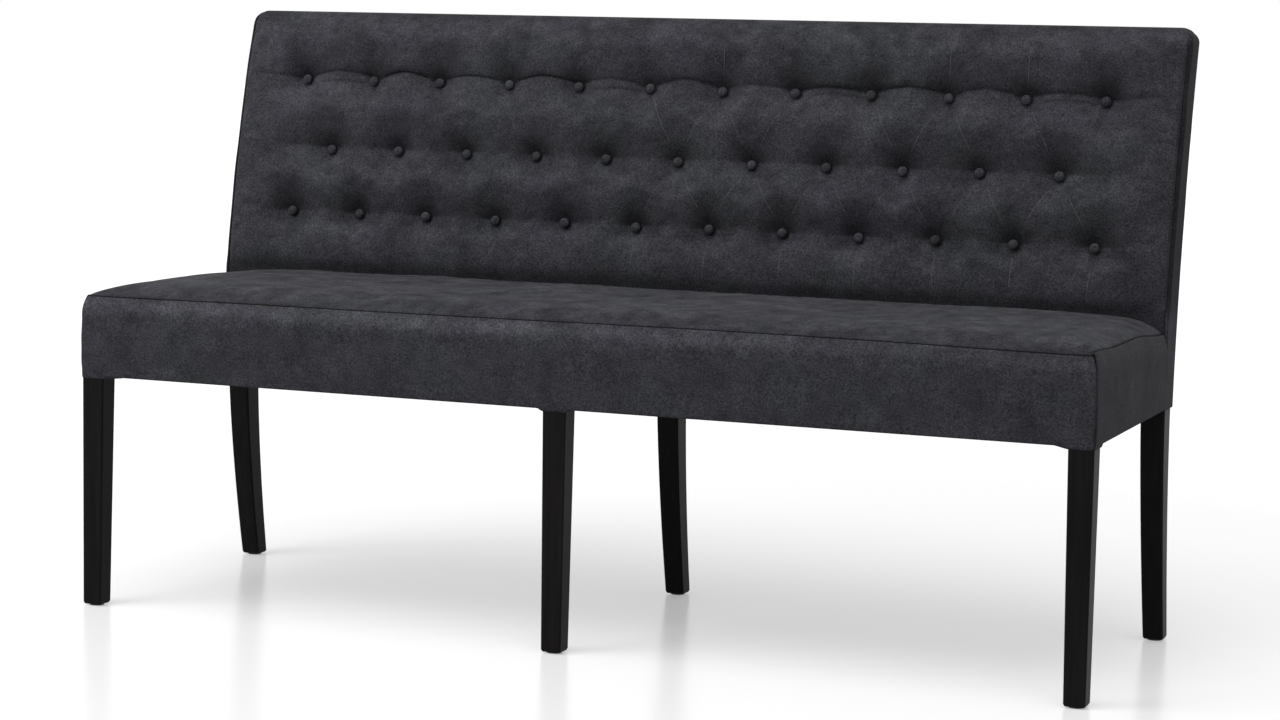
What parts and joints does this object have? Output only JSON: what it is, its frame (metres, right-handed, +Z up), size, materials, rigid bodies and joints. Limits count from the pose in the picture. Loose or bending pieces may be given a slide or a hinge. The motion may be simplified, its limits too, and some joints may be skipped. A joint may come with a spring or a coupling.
{
  "type": "upholstered kitchen bench",
  "caption": "Long upholstered dining bench with a boxed crowned seat, a reclined button-tufted back and dark tapered wooden legs, the rear ones swept backwards.",
  "frame": {"origin": "on the floor, at the centre of the bench's outline seen from above", "axes": "+X along the bench, to the right as seen from the front; +Y towards the back; +Z up"},
  "size_m": [1.6, 0.5991, 0.93],
  "materials": {
    "frame_wood": "planed beech, unfinished inside the bench",
    "leg_wood": "black stained wood, satin lacquer",
    "plywood": "raw curved plywood",
    "cover": "anthracite suede-look leatherette, matte and mottled",
    "foam": "polyurethane foam",
    "webbing": "elastic upholstery webbing",
    "dust_cloth": "black non-woven dust cloth",
    "twine": "waxed button twine",
    "steel": "zinc-plated steel",
    "glide_plastic": "black moulded plastic"
  },
  "bodies": {
    "root": {"front_rail_left": "frame_wood", "front_rail_right": "frame_wood", "rear_rail_left": "frame_wood", "rear_rail_right": "frame_wood", "side_rail_left": "frame_wood", "side_rail_right": "frame_wood", "centre_cross_rail": "frame_wood", "corner_blocks": "frame_wood", "rail_dowels": "frame_wood", "back_dowels": "frame_wood", "back_lower_rail": "frame_wood", "back_top_rail": "frame_wood", "back_stile_left": "frame_wood", "back_stile_right": "frame_wood", "front_leg_left": "leg_wood", "front_leg_centre": "leg_wood", "front_leg_right": "leg_wood", "rear_leg_left": "leg_wood", "rear_leg_centre": "leg_wood", "rear_leg_right": "leg_wood", "tuft_board": "plywood", "seat_top_panel": "cover", "seat_front_band": "cover", "seat_side_band_left": "cover", "seat_side_band_right": "cover", "back_front_panel": "cover", "back_rear_panel": "cover", "back_gusset_left": "cover", "back_gusset_right": "cover", "tuft_buttons": "cover", "seat_foam": "foam", "back_foam": "foam", "seat_webbing": "webbing", "dust_cover": "dust_cloth", "button_twine": "twine", "block_screws": "steel", "board_screws": "steel", "webbing_staples": "steel", "button_plates": "steel", "twine_washers": "steel", "glide_nails": "steel", "floor_glides": "glide_plastic"}
  },
  "joints": []
}
